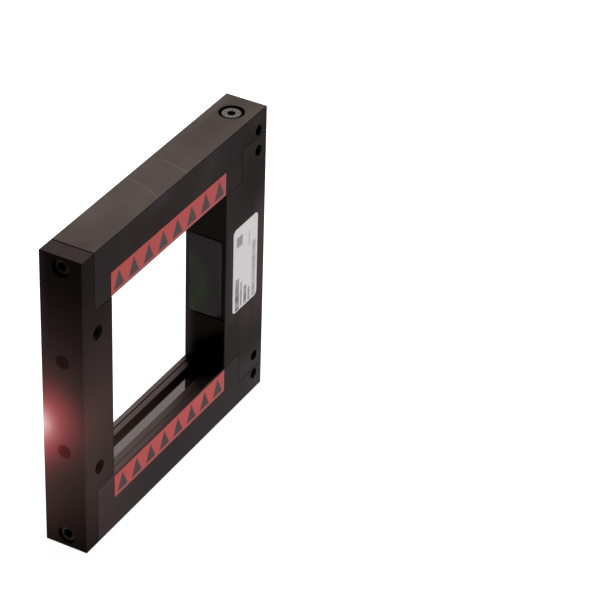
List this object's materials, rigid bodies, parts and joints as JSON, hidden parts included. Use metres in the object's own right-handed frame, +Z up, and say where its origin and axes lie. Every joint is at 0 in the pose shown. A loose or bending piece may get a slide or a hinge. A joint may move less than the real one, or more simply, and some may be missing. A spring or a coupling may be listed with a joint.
{
  "type": "slot sensor",
  "caption": "Black square frame sensor that watches its window with light beams from a lower to an upper bar, with red marker strips and a plug at one side.",
  "frame": {"origin": "middle of the frame's underside, halfway between its side faces and its front and back", "axes": "+Z up through the window, +X from the narrow left bar to the bar with the plug, -Y towards the front face with the marker strips"},
  "size_m": [0.1365, 0.0182, 0.129],
  "materials": {
    "anodised_black": "black anodised, satin",
    "black_steel": "black oxide",
    "bright_steel": "plain steel, satin",
    "dark_glass": "dark tinted, polished",
    "smoked_plastic": "smoked, polished",
    "seal_rubber": "matte",
    "black_plastic": "moulded",
    "clear_plastic": "clear",
    "circuit_board": "solder mask",
    "chip_plastic": "moulded",
    "can_metal": "satin",
    "wire_sheath": "extruded",
    "plated_brass": "nickel plated",
    "gold_contact": "gold plated",
    "red_lens": "diffusing, lit red",
    "red_foil": "printed film, satin",
    "white_foil": "printed film, satin"
  },
  "bodies": {
    "root": {"left_bar": "anodised_black", "right_bar": "anodised_black", "top_bar": "anodised_black", "bottom_bar": "anodised_black", "emitter_rail": "anodised_black", "receiver_rail": "anodised_black", "left_screws": "black_steel", "emitter_board_screws": "black_steel", "receiver_board_screws": "black_steel", "right_screws": "bright_steel", "emitter_window": "dark_glass", "receiver_window": "dark_glass", "cover_window": "smoked_plastic", "window_seal": "seal_rubber", "connector_seal": "seal_rubber", "emitter_holder": "black_plastic", "receiver_holder": "black_plastic", "connector_insert": "black_plastic", "emitter_leds": "clear_plastic", "receiver_diodes": "clear_plastic", "emitter_board": "circuit_board", "receiver_board": "circuit_board", "main_board": "circuit_board", "connector_board": "circuit_board", "controller_chip": "chip_plastic", "driver_chips": "chip_plastic", "capacitors": "can_metal", "emitter_ribbon": "wire_sheath", "receiver_ribbon": "wire_sheath", "status_cable": "wire_sheath", "connector_shell": "plated_brass", "connector_pins": "gold_contact", "status_lens": "red_lens", "status_led": "red_lens", "top_marker_strip": "red_foil", "bottom_marker_strip": "red_foil", "type_label": "white_foil"}
  },
  "joints": []
}
